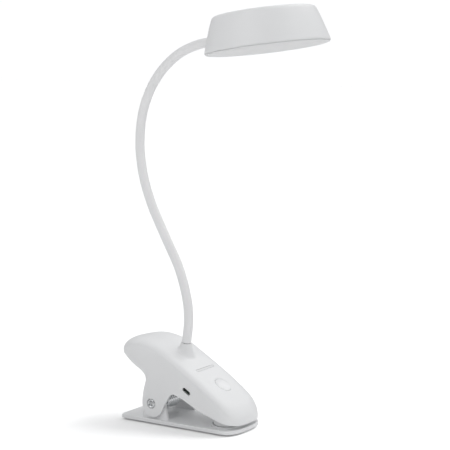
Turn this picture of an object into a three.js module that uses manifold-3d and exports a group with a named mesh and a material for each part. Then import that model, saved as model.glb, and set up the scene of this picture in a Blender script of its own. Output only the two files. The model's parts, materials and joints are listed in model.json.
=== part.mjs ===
// Clip on reading lamp: a spring clamp with a battery housing as its upper jaw,
// a bendable neck and a round LED head.
//
// Millimetres, +Z up. The origin is the middle of the clamp base's underside,
// +X points to the clamp's nose and the head, +Y to the lamp's left side.

import * as THREE from 'three';
import { mergeVertices } from 'three/addons/utils/BufferGeometryUtils.js';
import Module from 'manifold-3d';

const wasm = await Module();
wasm.setup();

// ---------------------------------------------------------------- driving dimensions

const gap = 0.35;                 // clearance between pieces that touch

const baseHalfWidth = 25.7;       // clamp base, the lower jaw
const baseTailX = -57.4;
const baseNoseX = 57.4;
const baseRimHeight = 4.85;
const baseRimWidth = 2.4;
const baseFloor = 2.2;
const inlayThickness = 0.9;

const pivotX = -25.5;             // clamp hinge
const pivotZ = 17.8;
const pinRadius = 3.3;
const pinFlangeRadius = 3.95;

const jawHalfWidth = 24.8;        // upper jaw shell
const jawWall = 2.3;
const jawNoseX = 58.6;
const jawTailX = -66;
const shoulderAcross = 10;        // rounding of the top edges, measured sideways
const shoulderDrop = 5.2;         // and downwards

const slopeAngle = THREE.MathUtils.degToRad(32);
const socketCentre = new THREE.Vector3(10.8, 0, 33.2); // level of the charging socket
const buttonSpot = [15.8, 14.15];     // down the slope from socketCentre, and square to it
const indicatorSpot = [-6, 14.5];
const buttonRadius = 7.3;
const indicatorLength = 26;
const indicatorWidth = 2.2;

const neckRadius = 4;
const coreRadius = 2.5;
const jointCount = 8;
const jointClearance = 1;         // from a joint to the sleeves' ends on each side of it

const headCentre = new THREE.Vector3(74, 0, 318.7);    // middle of the head's rim
const headPitch = THREE.MathUtils.degToRad(-7.96);
const headRimRadius = 51;
const headTopRadius = 40.6;
const headHeight = 29;
const headWall = 2;
const neckEntryHeight = 12;
const ledCount = 6;

// ---------------------------------------------------------------- materials

function finish(colour, roughness, metalness = 0) {
  return new THREE.MeshStandardMaterial({ color: colour, roughness, metalness });
}

const whitePlastic = finish(0xf0f0f0, 0.45);
const whiteSilicone = finish(0xf2f2f2, 0.6);
const gripSilicone = finish(0xd9dadc, 0.75);
const steel = finish(0xb8babd, 0.2, 1);
const aluminium = finish(0xc2c4c6, 0.45, 1);
const opal = finish(0xe6e7e7, 0.5);
const boardGreen = finish(0x1f5d3a, 0.5);
const boardWhite = finish(0xe9e9e4, 0.5);
const ledYellow = finish(0xe8d98a, 0.4);
const darkPlastic = finish(0x2a2b2d, 0.5);
const batteryWrap = finish(0x8e9499, 0.35);

// ---------------------------------------------------------------- shape tools

function solid(geometry) {
  geometry.deleteAttribute('normal');
  geometry.deleteAttribute('uv');
  const merged = mergeVertices(geometry, 1e-4);
  return new wasm.Manifold(new wasm.Mesh({
    numProp: 3,
    vertProperties: Float32Array.from(merged.attributes.position.array),
    triVerts: Uint32Array.from(merged.index.array),
  }));
}

function piece(name, shape, material) {
  const { vertProperties, triVerts } = shape.getMesh();
  const geometry = new THREE.BufferGeometry();
  geometry.setAttribute('position', new THREE.BufferAttribute(vertProperties, 3));
  geometry.setIndex(new THREE.BufferAttribute(triVerts, 1));
  geometry.computeVertexNormals();
  const mesh = new THREE.Mesh(geometry, material);
  mesh.name = name;
  return mesh;
}

function vectors(pairs) {
  return pairs.map(([a, b]) => new THREE.Vector2(a, b));
}

// A prism whose outline is drawn in the XZ plane and whose length runs along Y.
function acrossY(outline, lowY, highY, options = {}) {
  const bevel = options.bevelThickness ?? 0;
  const geometry = new THREE.ExtrudeGeometry(outline, {
    depth: highY - lowY - 2 * bevel,
    curveSegments: 3,
    bevelEnabled: bevel > 0,
    ...options,
  });
  geometry.rotateX(Math.PI / 2);
  geometry.translate(0, highY - bevel, 0);
  return solid(geometry);
}

// A prism whose outline is drawn in the XY plane and whose length runs along Z.
function upZ(outline, lowZ, highZ, curveSegments = 8) {
  const geometry = new THREE.ExtrudeGeometry(outline, {
    depth: highZ - lowZ,
    bevelEnabled: false,
    curveSegments,
  });
  geometry.translate(0, 0, lowZ);
  return solid(geometry);
}

function box(lengthX, lengthY, lengthZ, x = 0, y = 0, z = 0) {
  return solid(new THREE.BoxGeometry(lengthX, lengthY, lengthZ).translate(x, y, z));
}

// A turned shape about Z from [radius, height] pairs.
function turned(profile, segments = 24) {
  const geometry = new THREE.LatheGeometry(vectors(profile), segments);
  geometry.rotateX(Math.PI / 2);
  return solid(geometry);
}

function cylinder(radius, lowZ, highZ, segments = 24) {
  return turned([[0, lowZ], [radius, lowZ], [radius, highZ], [0, highZ]], segments);
}

function cylinderAcross(radius, lowY, highY, x, z, segments = 20) {
  const geometry = new THREE.CylinderGeometry(radius, radius, highY - lowY, segments);
  geometry.translate(x, (lowY + highY) / 2, z);
  return solid(geometry);
}

function pipe(curve, radius, sides, steps) {
  const section = new THREE.Shape();
  section.absarc(0, 0, radius, 0, Math.PI * 2);
  const geometry = new THREE.ExtrudeGeometry(section, {
    steps,
    extrudePath: curve,
    curveSegments: sides / 2,
  });
  return solid(geometry);
}

// A rectangle with round corners about the origin; a pill when the radius is half a side.
function roundedRectangle(lengthX, lengthY, radius) {
  const x = lengthX / 2 - radius;
  const y = lengthY / 2 - radius;
  const shape = new THREE.Shape();
  shape.absarc(x, -y, radius, -Math.PI / 2, 0);
  shape.absarc(x, y, radius, 0, Math.PI / 2);
  shape.absarc(-x, y, radius, Math.PI / 2, Math.PI);
  shape.absarc(-x, -y, radius, Math.PI, Math.PI * 1.5);
  shape.closePath();
  return shape;
}

// Half a superellipse that bulges towards tipX from the line x = startX.
function bluntEnd(startX, tipX, halfWidth, power, steps = 14) {
  const turn = Math.sign(tipX - startX);
  const points = [];
  for (let i = 0; i <= steps; i += 1) {
    const angle = -Math.PI / 2 + (Math.PI * i) / steps;
    const reach = Math.abs(Math.cos(angle)) ** (2 / power);
    const side = Math.sign(Math.sin(angle)) * Math.abs(Math.sin(angle)) ** (2 / power);
    points.push(new THREE.Vector2(startX + (tipX - startX) * reach, turn * halfWidth * side));
  }
  return points;
}

// A placed and turned frame, used to carry a solid to its seat before a cut.
function seat(position, turnAboutY = 0) {
  const frame = new THREE.Object3D();
  frame.position.copy(position);
  frame.rotation.y = turnAboutY;
  frame.updateMatrix();
  return frame;
}

function moved(shape, frame) {
  return shape.transform(frame.matrix.elements);
}

// ---------------------------------------------------------------- clamp base

const baseNoseStart = 43.2;
const baseNosePower = 2.7;
const baseTailCorner = 4;
const lugInnerY = 18.6;
const lugOuterY = 21.9;
const inlayTop = baseFloor + gap + inlayThickness;
const lowerPadTop = 6.4;

// The base has straight sides, a blunt nose and a straight tail with small round corners.
function baseOutline(inset) {
  const halfWidth = baseHalfWidth - inset;
  const corner = baseTailCorner - inset / 2;
  const cornerX = baseTailX + inset + corner;
  const shape = new THREE.Shape(bluntEnd(baseNoseStart, baseNoseX - inset, halfWidth, baseNosePower));
  shape.absarc(cornerX, halfWidth - corner, corner, Math.PI / 2, Math.PI);
  shape.absarc(cornerX, corner - halfWidth, corner, Math.PI, Math.PI * 1.5);
  shape.closePath();
  return shape;
}

// One hinge lug of the base, seen from the side: round over the pin, wider at the floor.
function lugOutline() {
  const radius = 9.4;
  const shape = new THREE.Shape();
  shape.moveTo(pivotX - radius - 0.6, 1);
  shape.lineTo(pivotX - radius, pivotZ);
  shape.absarc(pivotX, pivotZ, radius, Math.PI, Math.PI * 0.25, true);
  shape.lineTo(-11.6, pivotZ);
  shape.lineTo(-11, 8);
  shape.lineTo(-8.6, 1);
  shape.closePath();
  return shape;
}

function makeBaseFrame() {
  let frame = upZ(baseOutline(0), 0, baseRimHeight);
  frame = frame.subtract(upZ(baseOutline(baseRimWidth), baseFloor, baseRimHeight + 1));
  frame = frame.add(acrossY(lugOutline(), lugInnerY, lugOuterY));
  frame = frame.add(acrossY(lugOutline(), -lugOuterY, -lugInnerY));
  return frame.subtract(cylinderAcross(pinRadius + gap, -30, 30, pivotX, pivotZ));
}

function makeBaseInlay() {
  const outline = baseOutline(baseRimWidth + gap);
  let inlay = upZ(outline, baseFloor + gap, inlayTop);
  for (const side of [-1, 1]) {
    inlay = inlay.subtract(box(29, 6, 4, -22.4, side * (lugInnerY + 3 - gap), 3));
  }
  return inlay;
}

function makeLowerPad() {
  const outline = new THREE.Shape([
    ...bluntEnd(42, 53.2, 20.5, 2.4, 10),
    ...bluntEnd(42, 25.6, 20.5, 2.2, 10),
  ]);
  return upZ(outline, inlayTop + gap, lowerPadTop);
}

// The hinge pin is a hollow-ended rivet with a flange outside each ear.
function makePivotPin() {
  const end = jawHalfWidth - 0.3;
  const flangeIn = end - 0.8;
  const hollow = end - 5;
  const bore = 2;
  const halfProfile = [
    [0, hollow], [bore, hollow], [bore, end], [pinFlangeRadius, end],
    [pinFlangeRadius, flangeIn], [pinRadius, flangeIn],
  ];
  const otherHalf = halfProfile.map(([radius, y]) => [radius, -y]);
  const geometry = new THREE.LatheGeometry(vectors([...otherHalf, ...halfProfile.reverse()]), 20);
  geometry.translate(pivotX, 0, pivotZ);
  return solid(geometry);
}

// The clamp spring: a coil round the pin, one leg up to the jaw and one down to the base.
class SpringCurve extends THREE.Curve {
  getPoint(t, target = new THREE.Vector3()) {
    const radius = 7.2;
    const turns = 7;
    const halfSpan = 10;
    const leg = 0.05;
    const along = THREE.MathUtils.clamp((t - leg) / (1 - 2 * leg), 0, 1);
    const angle = Math.PI * (1 + 2 * turns * along);
    target.set(pivotX + radius * Math.cos(angle), halfSpan * (2 * along - 1), 0);
    target.z = pivotZ + radius * Math.sin(angle);
    const upperLeg = Math.max(0, 1 - t / leg);
    const lowerLeg = Math.max(0, 1 - (1 - t) / leg);
    target.z += 20 * upperLeg - 12.7 * lowerLeg;
    target.x += 3.5 * upperLeg;
    return target;
  }
}

function makeBase() {
  const group = new THREE.Group();
  group.add(
    piece('base_frame', makeBaseFrame(), whitePlastic),
    piece('base_inlay', makeBaseInlay(), steel),
    piece('lower_grip_pad', makeLowerPad(), gripSilicone),
    piece('pivot_pin', makePivotPin(), steel),
    piece('torsion_spring', pipe(new SpringCurve(), 1.1, 6, 106), steel),
  );
  return group;
}

// ---------------------------------------------------------------- upper jaw

// Crest of the shell on the centre plane, from the tail over the top to the nose.
const crest = vectors([
  [jawTailX, 57], [-65.2, 61.2], [-62.6, 65], [-58.4, 68.2], [-52, 70.6], [-43, 71.7], [-34, 71.2],
  [-25, 69.4], [-16, 65.8], [-7, 60.8], [2, 55.5], [12, 49.6], [22, 43.4], [31.5, 37], [40, 31],
  [47, 25.6], [53, 20], [57, 14.2], [jawNoseX, 8],
]);

// Edge of the jaw's side from the tail, down and round the hinge ear, to its front corner.
const earEdge = vectors([
  [-70, 58.4], [-61, 57.6], [-55, 56.4], [-48.6, 53.4], [-41, 49], [-35, 45.6], [-31.4, 41.8],
  [-30.6, 37.6], [-32.3, 32], [-33.9, 24], [-34.4, 17.6], [-33, 11.8], [-29.2, 7.8], [-24.2, 6.5],
  [-19.4, 7.6], [-15.6, 10.8], [-13.4, 15], [-11.6, 18.4], [-8.8, 23], [-6, 27.2], [-2.3, 29],
]);

// Lower edge of the jaw's side from the ear's front corner to the nose.
const lowerEdge = vectors([
  [5.5, 26.6], [14.5, 22.3], [26, 17.4], [37, 13.5], [44, 11.4], [50, 9.8], [56, 8.4], [62, 7.8],
]);

// The shell's rounded top as a solid, `inset` inside the outer surface.
function underCrest(inset) {
  const shape = new THREE.Shape();
  shape.moveTo(jawTailX, -60);
  shape.lineTo(crest[0].x, crest[0].y);
  shape.splineThru(crest.slice(1));
  shape.lineTo(jawNoseX, -60);
  shape.closePath();
  return acrossY(shape, inset - jawHalfWidth, jawHalfWidth - inset, {
    curveSegments: 2,
    bevelThickness: shoulderAcross - inset,
    bevelSize: shoulderDrop - inset,
    bevelOffset: -shoulderDrop,
    bevelSegments: 4,
  });
}

function jawVolume(inset) {
  const halfWidth = jawHalfWidth + 0.6 - inset;
  const outline = new THREE.Shape([
    ...bluntEnd(40, jawNoseX - inset, halfWidth, 2.6),
    ...bluntEnd(-40, jawTailX + inset, halfWidth, 2.1),
  ]);
  return underCrest(inset).intersect(upZ(outline, -20, 90));
}

function jawSide() {
  const shape = new THREE.Shape();
  shape.moveTo(70, 100);
  shape.lineTo(earEdge[0].x, 100);
  shape.lineTo(earEdge[0].x, earEdge[0].y);
  shape.splineThru(earEdge.slice(1));
  shape.splineThru(lowerEdge);
  shape.lineTo(70, lowerEdge.at(-1).y);
  shape.closePath();
  return acrossY(shape, -30, 30, { curveSegments: 2 });
}

// The jaw's underside line; bands of it make the cover and trim the grip pad.
const undersideLine = vectors([
  [62, 9.4], [50, 10.9], [44, 12.3], [37, 14.2], [26, 17.9], [14.5, 23], [5.5, 27.4], [-3, 31.6],
  [-12, 36], [-22, 39.6], [-30, 43], [-36, 47], [-42, 50.6], [-49, 54.6], [-55, 57.6], [-61, 58.8],
  [-70, 59.6],
]);

function undersideBand(low, high) {
  const lowerLine = undersideLine.map((point) => new THREE.Vector2(point.x, point.y + low));
  const upperLine = undersideLine.map((point) => new THREE.Vector2(point.x, point.y + high));
  return acrossY(new THREE.Shape([...lowerLine, ...upperLine.reverse()]), -40, 40);
}

const collarTop = new THREE.Vector3(-5.5, 0, 68.5);
const collarLean = Math.atan2(2.1, 17.5);
const collarSeat = seat(collarTop, collarLean);

// A seat on the sloping top, `along` down the slope and `above` the socket's level.
function slopeSeat(along, above) {
  const offset = new THREE.Vector3(along, 0, above);
  offset.applyAxisAngle(new THREE.Vector3(0, 1, 0), slopeAngle);
  return seat(offset.add(socketCentre), slopeAngle);
}

const screwX = -12;
const screwY = 17.4;
const screwBossLow = 39.8;

function makeTopShell() {
  let shell = jawVolume(0).intersect(jawSide());
  shell = shell.subtract(jawVolume(jawWall));

  const collarProfile = [
    [0, -15], [6.4, -15], [6.4, -9.4], [10, -8.6], [8, -6.8], [6.5, -4.6], [5.4, -2.2], [4.6, 0], [0, 0],
  ];
  shell = shell.add(moved(turned(collarProfile), collarSeat));
  shell = shell.subtract(moved(cylinder(3.2, -30, 10, 16), collarSeat));

  for (const side of [-1, 1]) {
    const boss = cylinder(3.2, screwBossLow, 80, 12);
    const screwHole = cylinder(1.35, 30, screwBossLow + 8, 10);
    const spot = seat(new THREE.Vector3(screwX, side * screwY, 0));
    shell = shell.add(moved(boss, spot).intersect(jawVolume(jawWall / 2)));
    shell = shell.subtract(moved(screwHole, spot));
    const recessDepth = 1.5;
    const middle = side * (jawHalfWidth + 3 - recessDepth);
    const recess = cylinderAcross(pinFlangeRadius + gap, middle - 3, middle + 3, pivotX, pivotZ);
    shell = shell.subtract(recess);
  }
  shell = shell.subtract(cylinderAcross(pinRadius + gap, -30, 30, pivotX, pivotZ));

  shell = shell.subtract(moved(cylinder(buttonRadius + gap, -8, 8), slopeSeat(...buttonSpot)));
  const slotWidth = indicatorWidth + 2 * gap;
  const indicatorSlot = roundedRectangle(slotWidth, indicatorLength + 2 * gap, slotWidth / 2);
  const indicator = upZ(indicatorSlot, -8, 8);
  shell = shell.subtract(moved(indicator, slopeSeat(...indicatorSpot)));
  const socket = acrossY(roundedRectangle(8.4, 3.3, 1.65), -30, -20, { curveSegments: 6 });
  return shell.subtract(moved(socket, slopeSeat(0, 0)));
}

function makeBottomCover() {
  let cover = undersideBand(0, 1.8).intersect(jawVolume(jawWall + gap));
  for (const side of [-1, 1]) {
    cover = cover.subtract(cylinder(1.4, 30, 50, 10).translate(screwX, side * screwY, 0));
  }
  return cover;
}

function makeUpperPad() {
  const outline = new THREE.Shape([
    ...bluntEnd(42, 52.6, 19.6, 2.4, 10),
    ...bluntEnd(42, 27.5, 19.6, 2.2, 10),
  ]);
  const trim = undersideBand(-gap, 40);
  return upZ(outline, lowerPadTop + 0.5, 20).subtract(trim);
}

function makeScrew(headRadius, headLow, headHigh, shankHigh) {
  const shank = cylinder(1, headLow + 0.2, shankHigh, 10);
  return cylinder(headRadius, headLow, headHigh, 12).add(shank);
}

function makeLockNut() {
  const hexagon = cylinder(5.6, -18.8, -15.4, 6);
  return hexagon.subtract(cylinder(3.2, -20, -10, 16));
}

function makeSocketShell() {
  const outside = acrossY(roundedRectangle(7.6, 2.6, 0.6), -22, -16.6);
  const inside = acrossY(roundedRectangle(6.9, 1.9, 0.4), -23, -17.2);
  const tongue = box(3.8, 4.2, 0.6, 0, -19, 0);
  return outside.subtract(inside).add(tongue);
}

function makeJaw() {
  const group = new THREE.Group();
  group.add(
    piece('top_shell', makeTopShell(), whitePlastic),
    piece('bottom_cover', makeBottomCover(), whitePlastic),
    piece('upper_grip_pad', makeUpperPad(), gripSilicone),
  );
  for (const [side, name] of [[-1, 'right'], [1, 'left']]) {
    const screw = piece(`cover_screw_${name}`, makeScrew(2.2, 33, 34.4, 45), steel);
    screw.position.set(screwX, side * screwY, 0);
    group.add(screw);
  }

  const ferrule = cylinder(2.85, -22, -0.4, 16).subtract(cylinder(1.5, -23, 1, 12));
  const neckRoot = new THREE.Group();
  neckRoot.position.copy(collarTop);
  neckRoot.rotation.y = collarLean;
  neckRoot.add(piece('neck_ferrule', ferrule, steel));
  neckRoot.add(piece('neck_lock_nut', makeLockNut(), steel));
  group.add(neckRoot);

  const battery = piece('battery_cell', upZ(roundedRectangle(32, 30, 3), -3.5, 3.5), batteryWrap);
  battery.position.set(-37, 0, 60.8);
  battery.rotation.y = THREE.MathUtils.degToRad(12);
  group.add(battery);

  const slope = new THREE.Group();
  slope.position.copy(socketCentre);
  slope.rotation.y = slopeAngle;
  const board = upZ(roundedRectangle(33, 38, 1.5), -3.3, -1.7).translate(2.5, -1.5, 0);
  slope.add(piece('circuit_board', board, boardGreen));
  slope.add(piece('charging_socket', makeSocketShell(), steel));
  slope.add(piece('switch_body', box(6, 6, 3.2, buttonSpot[0], 0, 0.25), darkPlastic));
  const pipeOutline = roundedRectangle(indicatorWidth, indicatorLength, indicatorWidth / 2);
  const lightPipe = upZ(pipeOutline, 12, indicatorSpot[1] + 0.05);
  const lightStem = cylinder(1, -1.3, 12.2, 10);
  slope.add(piece('charge_indicator', lightPipe.add(lightStem).translate(indicatorSpot[0], 0, 0), opal));
  group.add(slope);
  return group;
}

// ---------------------------------------------------------------- power button

function makeButton() {
  const [along, above] = buttonSpot;
  const cap = turned([
    [0, above - 1.8], [buttonRadius, above - 1.8], [buttonRadius, above - 0.5],
    [buttonRadius - 0.5, above + 0.05], [3.5, above + 0.25], [0, above + 0.3],
  ]);
  const stem = cylinder(1.6, 4, above - 1.5, 12);
  const group = new THREE.Group();
  group.position.copy(socketCentre);
  group.rotation.y = slopeAngle;
  const button = piece('power_button', cap.add(stem), whitePlastic);
  const plunger = piece('switch_plunger', cylinder(1.5, 2.6, 3.65, 12), darkPlastic);
  button.position.x = along;
  plunger.position.x = along;
  group.add(button, plunger);
  return group;
}

// ---------------------------------------------------------------- bendable neck

const neckCurve = new THREE.CatmullRomCurve3([
  [-5.5, 68.5], [-3.4, 86], [-4.4, 104], [-12.4, 131], [-27.2, 158.6], [-41.4, 186], [-50.1, 212],
  [-52.9, 239], [-48.6, 267], [-35.3, 292.6], [-15, 311.4], [5, 320.2], [26, 324], [42, 326.2],
].map(([x, z]) => new THREE.Vector3(x, 0, z)), false, 'centripetal');
neckCurve.arcLengthDivisions = 800;
const neckLength = neckCurve.getLength();
const firstJoint = 20;            // along the neck from the collar
const lastJoint = neckLength - 52;

function jointStation(index) {
  return firstJoint + ((lastJoint - firstJoint) * index) / (jointCount - 1);
}

// The neck's centre line from one station to another; it runs on straight past the neck's ends.
class NeckStretch extends THREE.Curve {
  constructor(start, end) {
    super();
    this.start = start;
    this.end = end;
  }

  getPoint(t, target = new THREE.Vector3()) {
    const station = THREE.MathUtils.lerp(this.start, this.end, t);
    const within = THREE.MathUtils.clamp(station, 0, neckLength);
    neckCurve.getPointAt(within / neckLength, target);
    if (station !== within) {
      target.addScaledVector(neckCurve.getTangentAt(within / neckLength), station - within);
    }
    return target;
  }
}

// One sleeve stretch, bored for the core. The ends stay clear of the joints they bend at.
function makeSleeve(start, end) {
  const steps = Math.max(4, Math.round((end - start) / 5));
  const sleeve = pipe(new NeckStretch(start, end), neckRadius, 10, steps);
  const bore = pipe(new NeckStretch(start - 2, end + 2), coreRadius + gap, 8, steps);
  return sleeve.subtract(bore);
}

function makeCore(start, end) {
  const steps = Math.max(4, Math.round((end - start) / 5));
  return pipe(new NeckStretch(start, end), coreRadius, 8, steps);
}

const sleeveEnd = neckLength - 11;

function makeNeckPieces() {
  const pieces = [];
  for (let link = 0; link <= jointCount; link += 1) {
    const start = link === 0 ? gap : jointStation(link - 1) + jointClearance;
    const end = link === jointCount ? sleeveEnd : jointStation(link) - jointClearance;
    const coreEnd = link === jointCount ? neckLength - 1 : end;
    pieces.push(piece(`neck_sleeve_${link + 1}`, makeSleeve(start, end), whiteSilicone));
    pieces.push(piece(`neck_core_${link + 1}`, makeCore(start, coreEnd), steel));
  }
  return pieces;
}

// ---------------------------------------------------------------- head

function ringOfSpots(count, radius) {
  return Array.from({ length: count }, (_, index) => {
    const angle = (index * Math.PI * 2) / count;
    return [radius * Math.cos(angle), radius * Math.sin(angle)];
  });
}

const headScrewSpots = ringOfSpots(3, 36);
const ledSpots = ringOfSpots(ledCount, 24);

function makeHousing() {
  const outside = turned([
    [0, 0], [headRimRadius, 0], [50.6, 2], [48.9, 8], [46.8, 14.5], [44.6, 21],
    [42.4, 26.6], [41.4, 28.2], [headTopRadius - 1, headHeight - 0.1], [0, headHeight + 0.4],
  ], 48);
  const inside = turned([
    [0, -1], [headRimRadius - headWall, -1], [headRimRadius - headWall, 0], [46.9, 8],
    [44.8, 14.5], [42.6, 21], [40, 26.8], [0, headHeight - headWall],
  ], 48);
  let housing = outside.subtract(inside);
  for (const [x, y] of headScrewSpots) {
    housing = housing.add(cylinder(3.2, 7.6, headHeight - 1, 12).translate(x, y, 0));
    housing = housing.subtract(cylinder(1.35, 5, 15, 10).translate(x, y, 0));
  }
  return housing;
}

// The neck's way in, cut from a piece that is drawn in the head's own frame.
function cutNeckWay(shape, radius) {
  const way = pipe(new NeckStretch(neckLength - 45, neckLength - 0.2), radius, 12, 10);
  const head = seat(headCentre, headPitch);
  const toHead = new THREE.Matrix4().copy(head.matrix).invert();
  return shape.subtract(way.transform(toHead.elements));
}

function makeHead() {
  const group = new THREE.Group();
  group.position.copy(headCentre);
  group.rotation.y = headPitch;

  group.add(piece('head_housing', cutNeckWay(makeHousing(), neckRadius + gap), whitePlastic));
  const clamp = box(8, 15, 11, -34, 0, neckEntryHeight + 1);
  group.add(piece('neck_clamp', cutNeckWay(clamp, coreRadius + gap), aluminium));

  let heatSink = cylinder(45, 5.8, 7.2, 48);
  let board = cylinder(44, 3.9, 5.4, 48);
  headScrewSpots.forEach(([x, y], index) => {
    const hole = cylinder(1.4, 0, 10, 10).translate(x, y, 0);
    heatSink = heatSink.subtract(hole);
    board = board.subtract(hole);
    const screw = piece(`head_screw_${index + 1}`, makeScrew(2.2, 2.2, 3.5, 13), steel);
    screw.position.set(x, y, 0);
    group.add(screw);
  });
  group.add(piece('heat_sink', heatSink, aluminium));
  group.add(piece('led_board', board, boardWhite));
  ledSpots.forEach(([x, y], index) => {
    const led = piece(`led_${index + 1}`, box(5, 5, 0.9), ledYellow);
    led.position.set(x, y, 3.05);
    group.add(led);
  });

  const diffuser = turned([
    [0, -2.2], [30, -2.1], [42, -1.9], [47.6, -1.5], [50.4, -0.9], [50.4, -gap], [48.4, -gap],
    [48.4, 0.6], [47, 1], [47, 3.2], [46, 3.2], [46, 0.4], [0, -0.6],
  ], 48);
  group.add(piece('diffuser', diffuser, opal));
  return group;
}

// ---------------------------------------------------------------- lamp

const lamp = new THREE.Group();
lamp.name = 'clip_on_reading_lamp';
lamp.add(makeBase(), makeJaw(), makeButton(), ...makeNeckPieces(), makeHead());

export default lamp;
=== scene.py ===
import json
import math

import bmesh
import bpy
from mathutils import Matrix, Vector


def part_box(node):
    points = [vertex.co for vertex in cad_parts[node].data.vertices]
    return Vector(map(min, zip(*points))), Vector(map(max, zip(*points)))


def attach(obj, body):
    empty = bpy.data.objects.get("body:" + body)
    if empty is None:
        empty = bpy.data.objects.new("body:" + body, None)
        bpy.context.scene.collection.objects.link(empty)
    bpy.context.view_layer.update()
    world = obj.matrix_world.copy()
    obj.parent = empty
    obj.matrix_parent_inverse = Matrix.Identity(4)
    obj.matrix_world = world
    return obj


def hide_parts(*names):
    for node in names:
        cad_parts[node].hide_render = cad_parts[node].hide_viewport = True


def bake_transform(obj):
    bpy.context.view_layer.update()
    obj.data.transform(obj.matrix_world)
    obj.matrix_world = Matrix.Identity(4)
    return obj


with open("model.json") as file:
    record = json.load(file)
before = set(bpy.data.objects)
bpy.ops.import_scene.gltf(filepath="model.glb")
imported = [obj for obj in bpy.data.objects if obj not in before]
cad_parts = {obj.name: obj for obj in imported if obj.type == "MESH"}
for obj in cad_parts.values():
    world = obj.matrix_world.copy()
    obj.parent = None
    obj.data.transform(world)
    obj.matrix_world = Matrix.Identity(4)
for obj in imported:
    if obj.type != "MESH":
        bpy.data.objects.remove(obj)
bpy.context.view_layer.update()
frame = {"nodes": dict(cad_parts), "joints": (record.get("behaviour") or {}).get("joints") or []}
scene = bpy.context.scene


# ---------------------------- studio
# The lamp stands on a white sweep in a soft light tent. The camera looks along the lamp's
# right side, a little from above the clamp and from below the head.

view_azimuth = math.radians(32.7)
view_elevation = math.radians(7.36)
view_distance = 1.19
view_target = Vector((0.0321, 0.0022, 0.1722))
towards_camera = Vector((
    math.sin(view_azimuth) * math.cos(view_elevation),
    -math.cos(view_azimuth) * math.cos(view_elevation),
    math.sin(view_elevation),
))

camera_data = bpy.data.cameras.new("camera")
camera_data.lens = 114.6
camera_data.sensor_width = 36
camera = bpy.data.objects.new("camera", camera_data)
scene.collection.objects.link(camera)
camera.location = view_target + towards_camera * view_distance
camera.rotation_euler = towards_camera.to_track_quat("Z", "Y").to_euler()
scene.camera = camera
scene.view_settings.view_transform = "Standard"


def add_light(name, kind, towards, energy, **settings):
    """A light that shines from this direction, with these settings of its kind."""
    data = bpy.data.lights.new(name, kind)
    data.energy = energy
    for setting, value in settings.items():
        setattr(data, setting, value)
    light = bpy.data.objects.new(name, data)
    scene.collection.objects.link(light)
    light.rotation_euler = Vector(towards).to_track_quat("Z", "Y").to_euler()
    light.visible_camera = False
    return light


def soft_box(name, place, aim, size, watts):
    """A square soft box at `place` that shines at `aim`."""
    add_light(name, "AREA", Vector(place) - Vector(aim), watts, size=size).location = place


soft_box("key_box", (-0.1, -1.1, 1.0), (0.0, 0.0, 0.1), 0.8, 3.4)
soft_box("right_box", (1.5, 0.0, 0.72), (0.0, 0.0, 0.25), 0.8, 2.2)

# The ceiling of the studio glows evenly over the whole sweep, most of all behind the lamp.
add_light("ceiling", "SUN", (0.15, 0.65, 1), 0.78, angle=math.radians(48))


def add_node(tree, kind, settings=None, **values):
    """A new shader node. Each value goes to the input of that name, with _ for a space."""
    made = tree.nodes.new("ShaderNode" + kind)
    for name, setting in (settings or {}).items():
        setattr(made, name, setting)
    for name, value in values.items():
        made.inputs[name.replace("_", " ")].default_value = value
    return made


def wire(tree, *links):
    """Joins sockets. Each link is a node, its output, the next node and its input."""
    for source, output, target, entry in links:
        tree.links.new(source.outputs[output], target.inputs[entry])


def new_material(name, **values):
    """A material with its node tree and its shader, whose inputs get the values."""
    material = bpy.data.materials.new(name)
    material.use_nodes = True
    shader = material.node_tree.nodes["Principled BSDF"]
    for socket, value in values.items():
        shader.inputs[socket.replace("_", " ")].default_value = value
    return material, material.node_tree, shader


# The tent is white all round, a little darker on the left. Bright metal mirrors it as dark
# towards the camera, grey at the height of the lamp and white overhead.
tent_white, tent_colour = 1.03, (0.985, 0.99, 1, 1)
world = bpy.data.worlds.new("light_tent")
world.use_nodes = True
scene.world = world
tent = world.node_tree
tent_place = add_node(tent, "TexCoord")
tent_facing = add_node(tent, "VectorMath", {"operation": "DOT_PRODUCT"})
tent_facing.inputs[1].default_value = towards_camera
tent_opening = add_node(
    tent, "MapRange", {"interpolation_type": "SMOOTHSTEP"},
    From_Min=0.35, From_Max=0.80, To_Min=0.5, To_Max=0.04,
)
tent_axes = add_node(tent, "SeparateXYZ")
tent_roof = add_node(tent, "MapRange", From_Min=0.2, From_Max=0.5, To_Min=1, To_Max=2.1)
tent_shine = add_node(tent, "Math", {"operation": "MULTIPLY"})
tent_side = add_node(tent, "VectorMath", {"operation": "DOT_PRODUCT"})
tent_side.inputs[1].default_value = towards_camera.cross(Vector((0, 0, -1))).normalized()
tent_soft = add_node(tent, "MapRange", From_Min=-1, To_Min=0.44, To_Max=0.63)
tent_ray = add_node(tent, "LightPath")
tent_glossy = add_node(tent, "Mix")
tent_strength = add_node(tent, "Mix", B=tent_white)
tent_background = tent.nodes["Background"]
tent_background.inputs["Color"].default_value = tent_colour
wire(
    tent,
    (tent_place, "Generated", tent_facing, 0),
    (tent_facing, "Value", tent_opening, "Value"),
    (tent_place, "Generated", tent_side, 0),
    (tent_side, "Value", tent_soft, "Value"),
    (tent_soft, "Result", tent_glossy, "A"),
    (tent_ray, "Is Glossy Ray", tent_glossy, "Factor"),
    (tent_place, "Generated", tent_axes, "Vector"),
    (tent_axes, "Z", tent_roof, "Value"),
    (tent_opening, "Result", tent_shine, 0),
    (tent_roof, "Result", tent_shine, 1),
    (tent_shine, "Value", tent_glossy, "B"),
    (tent_ray, "Is Camera Ray", tent_strength, "Factor"),
    (tent_glossy, "Result", tent_strength, "A"),
    (tent_strength, "Result", tent_background, "Strength"),
)

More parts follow.
